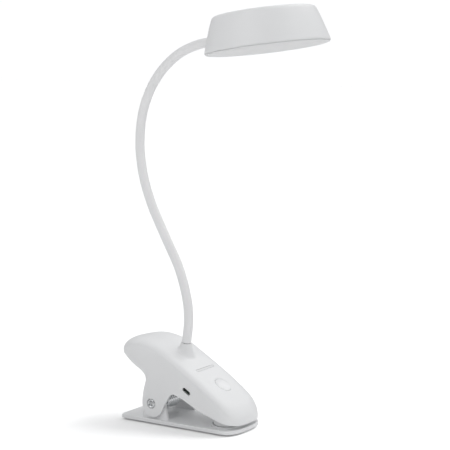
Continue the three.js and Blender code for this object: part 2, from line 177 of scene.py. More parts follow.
sweep_half_size = 8
bm = bmesh.new()
bmesh.ops.create_grid(bm, x_segments=1, y_segments=1, size=sweep_half_size)
floor_mesh = bpy.data.meshes.new("floor")
bm.to_mesh(floor_mesh)
bm.free()
floor = bpy.data.objects.new("floor", floor_mesh)
scene.collection.objects.link(floor)

# White paper that glows a little to the camera and is duller to the light it throws back.
floor_paper, floor_tree, floor_shader = new_material(
    "floor_paper", Roughness=1, Specular_IOR_Level=0, Emission_Color=(1, 1, 1, 1),
)
floor_ray = add_node(floor_tree, "LightPath")
floor_white = add_node(floor_tree, "MapRange", To_Min=0.77, To_Max=0.97)
floor_glow = add_node(floor_tree, "MapRange", To_Min=0, To_Max=0.12)
wire(
    floor_tree,
    (floor_ray, "Is Camera Ray", floor_white, "Value"),
    (floor_white, "Result", floor_shader, "Base Color"),
    (floor_ray, "Is Camera Ray", floor_glow, "Value"),
    (floor_glow, "Result", floor_shader, "Emission Strength"),
)
floor_mesh.materials.append(floor_paper)

# A slanting lamp behind the sweep that reaches only the paper and deepens the lamp's shadow.
sweep = bpy.data.collections.new("sweep")
sweep.objects.link(floor)
sweep_light = add_light("sweep_light", "SUN", (0.55, 0.75, 0.9), 0.95, angle=math.radians(35))
sweep_light.light_linking.receiver_collection = sweep


# ---------------------------- clamp base
# The lower jaw: a plate with a raised rim, a blunt nose and two hinge lugs with flared feet.
# It is moulded in one piece from satin white ABS, and the rim frames the steel plate.

MM = 0.001


def in_mm(node):
    """The lowest and highest corner of a frame node, in millimetres."""
    return [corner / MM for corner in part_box(node)]


def new_piece(bm, name, smooth_degrees=32):
    """Makes a finished piece from a shape drawn in millimetres: soft faces, marked sharp edges."""
    bmesh.ops.scale(bm, vec=(MM, MM, MM), verts=bm.verts)
    for face in bm.faces:
        face.smooth = True
    for edge in bm.edges:
        edge.smooth = edge.calc_face_angle(math.pi) < math.radians(smooth_degrees)
    mesh = bpy.data.meshes.new(name)
    bm.to_mesh(mesh)
    bm.free()
    made = bpy.data.objects.new(name, mesh)
    scene.collection.objects.link(made)
    return made


def face_from(bm, points):
    """One flat face through the points."""
    return bm.faces.new([bm.verts.new(point) for point in points])


def loop_of(bm, points):
    """A closed loop of edges through the points."""
    verts = [bm.verts.new(point) for point in points]
    return [bm.edges.new(pair) for pair in zip(verts, verts[1:] + verts[:1])]


def loft(bm, loops, capped=True):
    """Skins a row of loops, and closes both its ends unless told not to."""
    for near_loop, far_loop in zip(loops, loops[1:]):
        bmesh.ops.bridge_loops(bm, edges=near_loop + far_loop)
    if capped:
        for end in (loops[0], loops[-1]):
            bmesh.ops.contextual_create(bm, geom=end)
        bmesh.ops.recalc_face_normals(bm, faces=bm.faces)


def push_face(bm, face, vector):
    """Extrudes the face by the vector and returns the face at the far end."""
    extruded = bmesh.ops.extrude_face_region(bm, geom=[face])["geom"]
    verts = [item for item in extruded if isinstance(item, bmesh.types.BMVert)]
    bmesh.ops.translate(bm, vec=vector, verts=verts)
    return next(item for item in extruded if isinstance(item, bmesh.types.BMFace))


def round_edges(bm, edges, radius, segments=3):
    """Rounds the given edges."""
    bmesh.ops.bevel(
        bm, geom=list(edges), offset=radius, affect="EDGES", segments=segments,
        profile=0.5, material=-1, clamp_overlap=True,
    )


def sharp_edges(bm, accept, degrees=50):
    """The edges that turn by more than the angle and that the test accepts."""
    limit = math.radians(degrees)
    return [edge for edge in bm.edges if edge.calc_face_angle(0) > limit and accept(edge)]


def lowest(item):
    """The lowest height of an edge's or face's corners."""
    return min(vert.co.z for vert in item.verts)


def highest(item):
    """The highest height of an edge's or face's corners."""
    return max(vert.co.z for vert in item.verts)


def blunt_end(start_x, tip_x, half_width, power, steps=28):
    """Half a superellipse that bulges from the line x = start_x to tip_x, anticlockwise."""
    turn = math.copysign(1, tip_x - start_x)
    points = []
    for step in range(steps + 1):
        angle = math.pi * (step / steps - 0.5)
        reach = max(0.0, math.cos(angle)) ** (2 / power)
        side = math.copysign(abs(math.sin(angle)) ** (2 / power), math.sin(angle))
        points.append((start_x + (tip_x - start_x) * reach, turn * half_width * side))
    return points


def corner_arc(centre_x, centre_y, radius, first_degrees, steps=6):
    """A quarter circle, anticlockwise from first_degrees."""
    angles = [math.radians(first_degrees + 90 * step / steps) for step in range(steps + 1)]
    return [(centre_x + radius * math.cos(a), centre_y + radius * math.sin(a)) for a in angles]


base_low, base_high = in_mm("base_frame")
base_half_width = base_high.y
base_rim_height, base_rim_width, base_floor = 4.85, 2.4, 2.2
base_corner, base_nose_start, base_nose_power = 4, 43.2, 2.7
pivot = Vector((-25.5, 0, 17.8))
lug_inner, lug_outer, lug_radius = 18.6, 21.9, 9.4
lug_first_angle, lug_arc_angle, lug_arc_steps = 172, 150, 18


def base_outline(inset):
    """The plate's plan: straight sides, a blunt nose and small round corners at the tail."""
    half_width = base_half_width - inset
    corner = base_corner - inset / 2
    corner_x = base_low.x + inset + corner
    nose = blunt_end(base_nose_start, base_high.x - inset, half_width, base_nose_power)
    left = corner_arc(corner_x, half_width - corner, corner, 90)
    right = corner_arc(corner_x, corner - half_width, corner, 180)
    return nose + left + right


def lug_outline(y):
    """A hinge lug from the side: round over the pin, flared where it grows from the plate."""
    points = [(-37.6, 1), (-36.6, 3.6), (-35.9, 7), (-35.3, 11)]
    for step in range(lug_arc_steps + 1):
        angle = math.radians(lug_first_angle - lug_arc_angle * step / lug_arc_steps)
        points.append((pivot.x + lug_radius * math.cos(angle), pivot.z + lug_radius * math.sin(angle)))
    points += [(-13.9, 18.6), (-12.3, 14.5), (-11.4, 10), (-10.4, 6), (-8.8, 3), (-7, 1)]
    return [(x, y, z) for x, z in points]


sole_inset, sole_height = 3.6, 1.8
rim_round, brim_round, lug_round = 0.6, 0.5, 0.5
bm = bmesh.new()
sole = [(x, y, 0) for x, y in base_outline(sole_inset)]
brim = [(x, y, sole_height) for x, y in base_outline(0)]
sole_loop, brim_loop = loop_of(bm, sole), loop_of(bm, brim)
bmesh.ops.bridge_loops(bm, edges=sole_loop + brim_loop)
bmesh.ops.contextual_create(bm, geom=sole_loop)
brim_face = bmesh.ops.contextual_create(bm, geom=brim_loop)["faces"][0]
plate_top = push_face(bm, brim_face, (0, 0, base_rim_height - sole_height))
bmesh.ops.recalc_face_normals(bm, faces=bm.faces)
bmesh.ops.inset_region(bm, faces=[plate_top], thickness=base_rim_width, use_even_offset=True)
push_face(bm, plate_top, (0, 0, base_floor - base_rim_height))
bmesh.ops.recalc_face_normals(bm, faces=bm.faces)
round_edges(bm, sharp_edges(bm, lambda e: lowest(e) > base_floor + 1), rim_round, 4)
round_edges(bm, sharp_edges(bm, lambda e: 1 < lowest(e) and highest(e) < 2), brim_round)
for side in (-1, 1):
    lug_bm = bmesh.new()
    lug_width = side * (lug_outer - lug_inner)
    push_face(lug_bm, face_from(lug_bm, lug_outline(side * lug_inner)), (0, lug_width, 0))
    bmesh.ops.recalc_face_normals(lug_bm, faces=lug_bm.faces)
    round_edges(lug_bm, sharp_edges(lug_bm, lambda e: True, 60), lug_round, 3)
    lug_mesh = bpy.data.meshes.new("lug")
    lug_bm.to_mesh(lug_mesh)
    lug_bm.free()
    bm.from_mesh(lug_mesh)
    bpy.data.meshes.remove(lug_mesh)
base_plate = new_piece(bm, "lower_jaw_plate")
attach(base_plate, "base")
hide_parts("base_frame")


def grain_group():
    """Fine mould grain: a height for bumps, and a slow tone by which the finish drifts a little."""
    group = bpy.data.node_groups.new("mould_grain", "ShaderNodeTree")
    for name, way in (("Grain Size", "INPUT"), ("Height", "OUTPUT"), ("Tone", "OUTPUT")):
        group.interface.new_socket(name, in_out=way, socket_type="NodeSocketFloat")
    entry = group.nodes.new("NodeGroupInput")
    leave = group.nodes.new("NodeGroupOutput")
    place = add_node(group, "TexCoord")
    fine = add_node(group, "TexNoise", Detail=3)
    slow = add_node(group, "TexNoise", Scale=28, Detail=4)
    wire(
        group,
        (place, "Object", fine, "Vector"),
        (place, "Object", slow, "Vector"),
        (entry, "Grain Size", fine, "Scale"),
        (fine, "Fac", leave, "Height"),
        (slow, "Fac", leave, "Tone"),
    )
    return group


mould_grain = grain_group()


def moulded(name, dark, light, rough, grain_size, grain_depth):
    """A moulded finish: colour and gloss drift with the tone, and the grain gives the bump."""
    material, tree, shader = new_material(name)
    grain = add_node(tree, "Group", {"node_tree": mould_grain}, Grain_Size=grain_size)
    colour = add_node(tree, "Mix", {"data_type": "RGBA"}, A=(*dark, 1), B=(*light, 1))
    gloss = add_node(tree, "MapRange", To_Min=rough[0], To_Max=rough[1])
    bump = add_node(tree, "Bump", Strength=0.6, Distance=grain_depth)
    wire(
        tree,
        (grain, "Tone", colour, "Factor"),
        (colour, "Result", shader, "Base Color"),
        (grain, "Tone", gloss, "Value"),
        (gloss, "Result", shader, "Roughness"),
        (grain, "Height", bump, "Height"),
        (bump, "Normal", shader, "Normal"),
    )
    return material


def finish_with(piece, material):
    """Gives the piece this one material."""
    piece.data.materials.clear()
    piece.data.materials.append(material)


satin_abs = moulded(
    "satin_abs", (0.79, 0.795, 0.80), (0.83, 0.835, 0.84), (0.36, 0.46), 2600, 0.00002,
)
finish_with(base_plate, satin_abs)


# ---------------------------- steel plate of the base
# A stamped sheet of polished stainless steel that lies in the rim of the lower jaw.
# It is notched round the hinge lugs, and mirrors the dark underside of the upper jaw.

inlay_low, inlay_high = in_mm("base_inlay")
notch_y, notch_front, notch_rear = 18.2, -7.6, -37.1
inlay_gap, inlay_round = 0.3, 0.15


def inlay_outline():
    """The plan of the steel sheet: the base's plan, set in from the rim and notched on both sides."""
    plan = base_outline(base_rim_width + inlay_gap)
    nose = [point for point in plan if point[0] > 0]
    tail = [point for point in plan if point[0] < 0]
    half_width = nose[-1][1]
    left = [
        (notch_front, half_width), (notch_front, notch_y),
        (notch_rear, notch_y), (notch_rear, half_width),
    ]
    right = [(x, -y) for x, y in reversed(left)]
    return nose + left + tail + right


bm = bmesh.new()
sheet_bottom = face_from(bm, [(x, y, inlay_low.z) for x, y in inlay_outline()])
push_face(bm, sheet_bottom, (0, 0, inlay_high.z - inlay_low.z))
bmesh.ops.recalc_face_normals(bm, faces=bm.faces)
round_edges(bm, sharp_edges(bm, lambda e: lowest(e) > inlay_high.z - 0.1), inlay_round, 2)
steel_plate = new_piece(bm, "steel_floor_plate")
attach(steel_plate, "base")
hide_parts("base_inlay")


def polished(name, colour, rough, line_stretch, line_size):
    """Bright metal with fine rolled or turned lines, short across the stretched direction."""
    material, tree, shader = new_material(name, Metallic=1)
    place = add_node(tree, "TexCoord")
    stretch = add_node(tree, "Mapping", Scale=line_stretch)
    lines = add_node(tree, "TexNoise", Scale=line_size, Detail=5)
    gloss = add_node(tree, "MapRange", To_Min=rough[0], To_Max=rough[1])
    shade = (*[value * 0.92 for value in colour], 1)
    tint = add_node(tree, "Mix", {"data_type": "RGBA"}, A=shade, B=(*colour, 1))
    bump = add_node(tree, "Bump", Strength=0.2, Distance=0.00001)
    wire(
        tree,
        (place, "Object", stretch, "Vector"),
        (stretch, "Vector", lines, "Vector"),
        (lines, "Fac", gloss, "Value"),
        (gloss, "Result", shader, "Roughness"),
        (lines, "Fac", tint, "Factor"),
        (tint, "Result", shader, "Base Color"),
        (lines, "Fac", bump, "Height"),
        (bump, "Normal", shader, "Normal"),
    )
    return material


finish_with(steel_plate, polished("rolled_steel", (0.36, 0.365, 0.38), (0.10, 0.20), (1, 12, 1), 110))


# ---------------------------- lower grip pad
# A soft silicone pad with cross grooves that stops the clamp from slipping.
# It is moulded on its own and glued to the steel plate under the nose.

pad_low, pad_high = in_mm("lower_grip_pad")


def superellipse(rear_x, middle_x, front_x, half_width, rear_power, front_power):
    """A closed plan with a blunt front and a rounder rear."""
    front = blunt_end(middle_x, front_x, half_width, front_power)
    rear = blunt_end(middle_x, rear_x, half_width, rear_power)
    return front + rear[1:-1]


groove_count, groove_margin, groove_width, groove_depth = 9, 3, 0.9, 0.35
pad_round = 0.7
pad_middle = (pad_low.x + pad_high.x) / 2 + 2
pad_plan = superellipse(pad_low.x, pad_middle, pad_high.x, pad_high.y, 2.2, 2.4)
bm = bmesh.new()
push_face(bm, face_from(bm, [(x, y, pad_low.z) for x, y in pad_plan]), (0, 0, pad_high.z - pad_low.z))
bmesh.ops.recalc_face_normals(bm, faces=bm.faces)
round_edges(bm, sharp_edges(bm, lambda e: highest(e) - lowest(e) < 0.01), pad_round, 4)
first_groove = min(x for x, _ in pad_plan) + groove_margin
last_groove = max(x for x, _ in pad_plan) - groove_margin
for index in range(groove_count):
    centre = first_groove + (last_groove - first_groove) * index / (groove_count - 1)
    for edge_x in (centre - groove_width / 2, centre + groove_width / 2):
        faces = [face for face in bm.faces if face.normal.z > 0.99]
        edges = list({edge for face in faces for edge in face.edges})
        verts = list({vert for face in faces for vert in face.verts})
        bmesh.ops.bisect_plane(
            bm, geom=faces + edges + verts, plane_co=(edge_x, 0, 0), plane_no=(1, 0, 0), dist=0.001,
        )
grooves = []
for face in bm.faces:
    across = max(v.co.x for v in face.verts) - min(v.co.x for v in face.verts)
    if face.normal.z > 0.99 and 0.5 < across < 1.2:
        grooves.append(face)
bmesh.ops.inset_individual(
    bm, faces=grooves, thickness=0.12, depth=-groove_depth, use_even_offset=True,
)
lower_pad = new_piece(bm, "lower_silicone_pad")
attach(lower_pad, "base")
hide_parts("lower_grip_pad")
grip_silicone = moulded(
    "grip_silicone", (0.66, 0.665, 0.67), (0.72, 0.725, 0.73), (0.62, 0.74), 1500, 0.00003,
)
finish_with(lower_pad, grip_silicone)


# ---------------------------- hinge rivet
# A steel rivet with hollow ends, right through both jaws. Each end is rolled over into a
# round flange in a recess of the upper jaw's ear, and the steel is plated with bright zinc.

pin_end = in_mm("pivot_pin")[1].y
pin_profile = [
    (0, 3.4), (1.1, 3.3), (1.7, 2.9), (1.95, 2.2), (2.05, 1.3), (2.2, 0.7), (2.45, 0.28),
    (2.75, 0.06), (3.05, 0.0), (3.35, 0.08), (3.58, 0.3), (3.7, 0.6), (3.72, 0.95), (3.6, 1.1),
    (3.2, 1.1),
]


def turned(name, profile, segments, seat, smooth_degrees=32):
    """A piece turned about the seat's Z axis from (radius, height) pairs."""
    bm = bmesh.new()
    verts = [bm.verts.new((radius, 0, height)) for radius, height in profile]
    edges = [bm.edges.new(pair) for pair in zip(verts, verts[1:])]
    bmesh.ops.spin(
        bm, geom=verts + edges, cent=(0, 0, 0), axis=(0, 0, 1), angle=2 * math.pi,
        steps=segments, use_merge=True,
    )
    bmesh.ops.remove_doubles(bm, verts=bm.verts, dist=0.0005)
    bmesh.ops.recalc_face_normals(bm, faces=bm.faces)
    bmesh.ops.transform(bm, matrix=seat, verts=bm.verts)
    return new_piece(bm, name, smooth_degrees)


far_half = [(radius, pin_end - depth) for radius, depth in pin_profile]
near_half = [(radius, -height) for radius, height in reversed(far_half)]
pin_seat = Matrix.Translation(pivot) @ Matrix.Rotation(math.pi / 2, 4, "X")
rivet = turned("hinge_rivet", far_half + near_half, 48, pin_seat)
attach(rivet, "base")
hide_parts("pivot_pin")
bright_zinc = polished("bright_zinc", (0.80, 0.81, 0.82), (0.05, 0.12), (1, 1, 1), 420)
finish_with(rivet, bright_zinc)


# ---------------------------- clamp spring
# A torsion spring of 2.2 mm steel wire wound round the rivet. One leg pushes the upper jaw
# up behind the hinge, the other presses on the base, so the coil winds up as the jaws open.

wire_radius = 1.1
coil_radius = 7.2
coil_turns, steps_in_a_turn = 7, 40
coil_half_span = 10
upper_leg = Vector((3.5, 0, 20))
lower_leg = Vector((0, 0, -12.7))


def extruded_ring(bm, ring):
    """Extrudes a closed ring of edges and returns the new ring."""
    grown = bmesh.ops.extrude_edge_only(bm, edges=ring)["geom"]
    verts = {item for item in grown if isinstance(item, bmesh.types.BMVert)}
    edges = [item for item in grown if isinstance(item, bmesh.types.BMEdge)]
    return [edge for edge in edges if edge.verts[0] in verts and edge.verts[1] in verts]


def verts_of(ring):
    """The corners of a ring of edges, each once."""
    return {vert for edge in ring for vert in edge.verts}


def edges_at(verts):
    """The edges that meet at these corners, each once."""
    return list({edge for vert in verts for edge in vert.link_edges})


def leg_out(bm, section, reach, steps):
    """Draws a wire end on along the reach, in a few straight steps, and closes it."""
    ring = [e for e in edges_at(section) if e.verts[0] in section and e.verts[1] in section]
    for _ in range(steps):
        ring = extruded_ring(bm, ring)
        bmesh.ops.translate(bm, vec=reach / steps, verts=list(verts_of(ring)))
    bmesh.ops.contextual_create(bm, geom=ring)


bm = bmesh.new()
coil_start = pivot + Vector((-coil_radius, -coil_half_span, 0))
section = bmesh.ops.create_circle(
    bm, segments=14, radius=wire_radius, matrix=Matrix.Translation(coil_start),
)
first_ring = list(section["verts"])
steps = coil_turns * steps_in_a_turn
winding = bmesh.ops.spin(
    bm, geom=first_ring + edges_at(first_ring), cent=tuple(pivot), axis=(0, -1, 0),
    angle=2 * math.pi * coil_turns, steps=steps, dvec=(0, 2 * coil_half_span / steps, 0),
)
last_ring = [item for item in winding["geom_last"] if isinstance(item, bmesh.types.BMVert)]
leg_out(bm, first_ring, upper_leg, 6)
leg_out(bm, last_ring, lower_leg, 4)
bmesh.ops.recalc_face_normals(bm, faces=bm.faces)
spring = new_piece(bm, "clamp_spring", 60)
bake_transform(spring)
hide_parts("torsion_spring")
finish_with(spring, polished("spring_wire", (0.90, 0.91, 0.92), (0.05, 0.12), (1, 6, 1), 300))


# ---------------------------- upper jaw shell
# The top of the upper jaw is one deep moulding in satin white ABS: a long slope with soft
# shoulders, a rounded tail to press, an ear on each side for the hinge, and the neck's collar.

jaw_low, jaw_high = in_mm("top_shell")
jaw_half_width = jaw_high.y
jaw_tail_x, jaw_nose_x = jaw_low.x, jaw_high.x
jaw_wall, jaw_roof = 2.3, 2.6
foot_round, tail_edge_height = 0.4, 60
nose_start, tail_start = 40, -40
nose_power, tail_power = 2.6, 2.1
ear_rear, ear_front = -31.4, -2.3
ear_rear_height, ear_front_height = 41.8, 29
# How many columns of faces each part of the outline has.
nose_columns, tail_columns, front_columns, ear_columns, rear_columns = 52, 44, 34, 84, 7

# The ridge line of the jaw before its edges are rounded, from the tail to the nose.
ridge = [
    (-67, 67.6), (-62.6, 68.6), (-58.4, 69.5), (-52, 70.6), (-43, 71.7), (-34, 71.2), (-25, 69.4),
    (-16, 65.8), (-7, 60.8), (2, 55.5), (12, 49.6), (22, 43.4), (31.5, 37), (40, 31), (47, 25.6),
    (53, 20.8), (57, 17.9), (60, 15.7),
]
# The lower edge of its side: under the tail, in front of the ear, and up to the nose.
side_edge = [
    (-70, 58.4), (-61, 57.6), (-55, 56.4), (-48.6, 53.4), (-41, 49), (-35, 45.6), (-31.4, 41.8),
    (-2.3, 29), (5.5, 26.6), (14.5, 22.3), (26, 17.4), (37, 13.5), (44, 11.4), (50, 9.8),
    (56, 8.4), (62, 7.8),
]
rear_edge_points = 7
# The outline of the hinge ear, from its rear top down round the rivet to its front top.
ear_edge = [
    (-31.4, 41.8), (-30.6, 37.6), (-32.3, 32), (-33.9, 24), (-34.4, 17.6), (-33, 11.8),
    (-29.2, 7.8), (-24.2, 6.5), (-19.4, 7.6), (-15.6, 10.8), (-13.4, 15), (-11.6, 18.4),
    (-8.8, 23), (-6, 27.2), (-2.3, 29),
]


def curve_through(points, steps=8):
    """A smooth line through the points, each stretch cut into equal steps."""
    line = []
    ends = [points[0]] + list(points) + [points[-1]]
    for a, b, c, d in zip(ends, ends[1:], ends[2:], ends[3:]):
        for step in range(steps):
            t = step / steps
            line.append(tuple(
                0.5 * (
                    2 * q + (r - p) * t + (2 * p - 5 * q + 4 * r - s) * t ** 2
                    + (3 * q - p - 3 * r + s) * t ** 3
                )
                for p, q, r, s in zip(a, b, c, d)
            ))
    return line + [tuple(points[-1])]


def height_on(line, x):
    """The height of a line of (x, z) points at x."""
    for (x0, z0), (x1, z1) in zip(line, line[1:]):
        if x <= x1:
            return z0 + (z1 - z0) * (x - x0) / (x1 - x0)
    return line[-1][1]


def evenly(line, count):
    """Count + 1 points at equal distances along a line."""
    spans = [math.dist(a, b) for a, b in zip(line, line[1:])]
    total = sum(spans)
    points, index, walked = [], 0, 0.0
    for step in range(count + 1):
        goal = total * step / count
        while index < len(spans) - 1 and walked + spans[index] < goal:
            walked += spans[index]
            index += 1
        share = min(1.0, (goal - walked) / spans[index])
        points.append(tuple(p + (q - p) * share for p, q in zip(line[index], line[index + 1])))
    return points


def ease(x, low, high):
    """0 before low, 1 after high, and a soft step between them."""
    t = min(1.0, max(0.0, (x - low) / (high - low)))
    return t * t * (3 - 2 * t)


ridge_line = curve_through(ridge)
side_line = curve_through(side_edge[:rear_edge_points]) + curve_through(side_edge[rear_edge_points:])
ear_line = evenly(curve_through(ear_edge), ear_columns)


def stretch_of(first, last, columns):
    """Evenly spaced places from first towards last, without the last."""
    return [first + (last - first) * step / columns for step in range(columns)]


# Places along the straight side from front to rear, closest where the ear hangs.
stations = stretch_of(nose_start, ear_front, front_columns)
stations += stretch_of(ear_front, ear_rear, ear_columns)
stations += stretch_of(ear_rear, tail_start, rear_columns) + [tail_start]


def jaw_outline(inset):
    """The jaw's plan as (x, y) pairs, anticlockwise from the front right corner."""
    half_width = jaw_half_width - inset
    nose = blunt_end(nose_start, jaw_nose_x - inset, half_width, nose_power, nose_columns)
    tail = blunt_end(tail_start, jaw_tail_x + inset, half_width, tail_power, tail_columns)
    left = [(x, half_width) for x in stations]
    right = [(x, -half_width) for x in reversed(stations)]
    return nose[:-1] + left[:-1] + tail[:-1] + right[:-1]


def depth_inside(x, y):
    """How far a point of the plan lies inside the jaw's outline."""
    if x > nose_start:
        power, run, reach = nose_power, jaw_nose_x - nose_start, x - nose_start
    elif x < tail_start:
        power, run, reach = tail_power, tail_start - jaw_tail_x, tail_start - x
    else:
        return jaw_half_width - abs(y)
    along, across = reach / run, abs(y) / jaw_half_width
    level = (along ** power + across ** power) ** (1 / power)
    slope_x, slope_y = along ** (power - 1) / run, across ** (power - 1) / jaw_half_width
    rise = level ** (1 - power) * math.hypot(slope_x, slope_y)
    return (1 - level) / rise


shoulder_width, shoulder_drop = 10, 5.2


def jaw_top(x, y):
    """The height of the jaw's outer skin: the ridge, rounded down towards the outline."""
    to_nose, to_tail = ease(x, 36, 57), ease(-x, 34, 60)
    width = shoulder_width - 1.0 * to_nose + 5 * to_tail
    drop = shoulder_drop + 3.1 * to_nose + 3.7 * to_tail
    near = 1 - min(1.0, max(0.0, depth_inside(x, y)) / width)
    return height_on(ridge_line, x) - drop * (1 - math.sqrt(max(0.0, 1 - near * near)))


def edge_below(index, x, half_way):
    """The (x, z) of the side's lower edge in one column of the outline, or of the row above it."""
    left_first = nose_columns
    tail_first = left_first + len(stations) - 1
    right_first = tail_first + tail_columns
    column = None
    if left_first <= index < tail_first:
        column = index - left_first - front_columns
    elif index >= right_first:
        column = len(stations) - 1 - (index - right_first) - front_columns
    if column is None or not 0 <= column <= ear_columns:
        return x, height_on(side_line, x)
    if half_way:
        share = column / ear_columns
        return x, ear_front_height + (ear_rear_height - ear_front_height) * share
    return ear_line[ear_columns - column]


# The rows of the top run in towards a spine that ends short of the nose and the tail.
spine_middle, spine_share = 2, 0.72
shoulder_rows, top_rows, shoulder_reach, belt_rise = 16, 16, 0.42, 3


def drawn_in(outline, share, middle=spine_middle, squeeze=spine_share):
    """The outline drawn in by this share towards a spine on the middle line."""
    points = []
    for x, y in outline:
        spine_x = middle + (x - middle) * squeeze
        points.append((x + (spine_x - x) * share, y * (1 - share)))
    return points


def skin(bm, inset, lower):
    """One skin of the jaw, from its lower edge up the sides and over the top, as rows of quads."""
    outline = jaw_outline(inset)
    foot, belt = [], []
    for index, (x, y) in enumerate(outline):
        brim = jaw_top(x, y) - lower
        foot_x, foot_z = edge_below(index, x, False)
        row_x, row_z = edge_below(index, x, True)
        foot.append((foot_x, y, foot_z))
        belt.append((row_x, y, min(row_z + belt_rise, (brim + row_z) / 2)))
    rows = [foot, belt]
    quarter = [math.pi / 2 * step / shoulder_rows for step in range(shoulder_rows)]
    shares = [shoulder_reach * (1 - math.cos(angle)) for angle in quarter]
    shares += [shoulder_reach + (1 - shoulder_reach) * step / top_rows for step in range(top_rows + 1)]
    for share in shares:
        rows.append([(x, y, jaw_top(x, y) - lower) for x, y in drawn_in(outline, share)])
    loft(bm, [loop_of(bm, row) for row in rows], capped=False)


# The collar: a horn with a wide soft foot, grown out of the slope for the neck.
collar_top = Vector((-5.5, 0, 68.5))
collar_lean = math.atan2(2.1, 17.5)
collar_axis = Vector((math.sin(collar_lean), 0, math.cos(collar_lean)))
collar_seat = Matrix.Translation(collar_top) @ Matrix.Rotation(collar_lean, 4, "Y")
collar_foot_radius, collar_rim_radius = 11.5, 4.85
collar_back, collar_flare, collar_reach = 1.1, 5.2, 16


def collar_point(x, y, radius):
    """A point of the collar's skin, on the ring of this radius and in the direction of (x, y)."""
    share = (collar_foot_radius - radius) / (collar_foot_radius - collar_rim_radius)
    foot_x = collar_top.x - collar_back
    turn = math.atan2(y, x - foot_x)
    px = foot_x + collar_back * min(1, share) + radius * math.cos(turn)
    py = radius * math.sin(turn)
    rim = collar_top.z - math.tan(collar_lean) * (px - collar_top.x)
    low = jaw_top(px, py)
    return Vector((px, py, low + (rim - low) * min(1, share) ** collar_flare))


def grow_collar(bm):
    """Opens the skin round the collar's foot and extrudes the opening's rim up to the neck."""
    foot = Vector((collar_top.x - collar_back, 0))

    def opening():
        edges = [edge for edge in bm.edges if edge.is_boundary]
        return [edge for edge in edges if (edge.verts[0].co.xy - foot).length < collar_reach]

    inside = [v for v in bm.verts if (v.co.xy - foot).length < collar_foot_radius - 0.2]
    bmesh.ops.delete(bm, geom=inside, context="VERTS")
    ring = opening()
    for vert in verts_of(ring):
        vert.co = collar_point(vert.co.x, vert.co.y, collar_foot_radius)
    bmesh.ops.remove_doubles(bm, verts=list(verts_of(ring)), dist=0.35)
    ring = opening()
    for radius in (
        10.6, 9.7, 8.9, 8.2, 7.6, 7.1, 6.7, 6.35, 6.05, 5.8, 5.6, 5.42, 5.27, 5.14, 5.03, 4.94,
        collar_rim_radius,
    ):
        ring = extruded_ring(bm, ring)
        for vert in verts_of(ring):
            vert.co = collar_point(vert.co.x, vert.co.y, radius)
    ring = extruded_ring(bm, ring)
    for vert in verts_of(ring):
        vert.co += (collar_top - vert.co) * 0.05 + collar_axis * 0.08
    bmesh.ops.contextual_create(bm, geom=ring)


def cut_by(piece, *cutters):
    """Cuts the cutters' shapes out of the piece, and removes the cutters."""
    for cutter in cutters:
        cut = piece.modifiers.new("cut", "BOOLEAN")
        cut.operation = "DIFFERENCE"
        cut.solver = "EXACT"
        cut.object = cutter
    bpy.context.view_layer.update()
    shaped = piece.evaluated_get(bpy.context.evaluated_depsgraph_get())
    mesh = bpy.data.meshes.new_from_object(shaped)
    piece.modifiers.clear()
    old = piece.data
    piece.data = mesh
    bpy.data.meshes.remove(old)
    for cutter in cutters:
        bpy.data.objects.remove(cutter)


def pill(length, width, steps=8):
    """A pill's outline about the origin, with its length along X."""
    half, radius = (length - width) / 2, width / 2
    points = []
    for first, centre in ((-90, half), (90, -half)):
        for step in range(steps + 1):
            angle = math.radians(first + 180 * step / steps)
            points.append((centre + radius * math.cos(angle), radius * math.sin(angle)))
    return points


def pill_cutter(length, width, depth, flare, matrix):
    """A pill-shaped cutter down to the depth, whose rim opens by the flare as a small round."""
    bm = bmesh.new()
    rows = [
        (0, -depth), (0, -flare), (0.13 * flare, -0.5 * flare), (0.5 * flare, -0.13 * flare),
        (flare, 0), (flare, 6),
    ]
    loops = []
    for grow, z in rows:
        outline = pill(length + 2 * grow, width + 2 * grow)
        loops.append(loop_of(bm, [(x, y, z) for x, y in outline]))
    loft(bm, loops)
    bmesh.ops.transform(bm, matrix=matrix, verts=bm.verts)
    return new_piece(bm, "cutter")


slope_angle = math.radians(32)
slope_seat = Matrix.Translation((10.8, 0, 33.2)) @ Matrix.Rotation(slope_angle, 4, "Y")
button_along, button_above = 15.8, 14.15
indicator_along, indicator_above = -6, 14.5
indicator_length, indicator_width = 26, 2.3
socket_length, socket_width = 8.4, 3.3


def on_slope(along, y, above):
    """A seat this far down the slope from the socket, sideways, and square to the slope."""
    return slope_seat @ Matrix.Translation((along, y, above))


quarter_turn = math.pi / 2
indicator_seat = on_slope(indicator_along, 0, indicator_above) @ Matrix.Rotation(quarter_turn, 4, "Z")

bm = bmesh.new()
skin(bm, 0, 0)
bmesh.ops.remove_doubles(bm, verts=bm.verts, dist=0.02)
grow_collar(bm)
skin(bm, jaw_wall, jaw_roof)
bmesh.ops.remove_doubles(bm, verts=bm.verts, dist=0.02)
bmesh.ops.bridge_loops(bm, edges=[edge for edge in bm.edges if edge.is_boundary])
bmesh.ops.recalc_face_normals(bm, faces=bm.faces)
round_edges(bm, sharp_edges(bm, lambda e: e.verts[0].co.z < tail_edge_height, 60), foot_round)
jaw_shell = new_piece(bm, "upper_jaw_shell", 40)

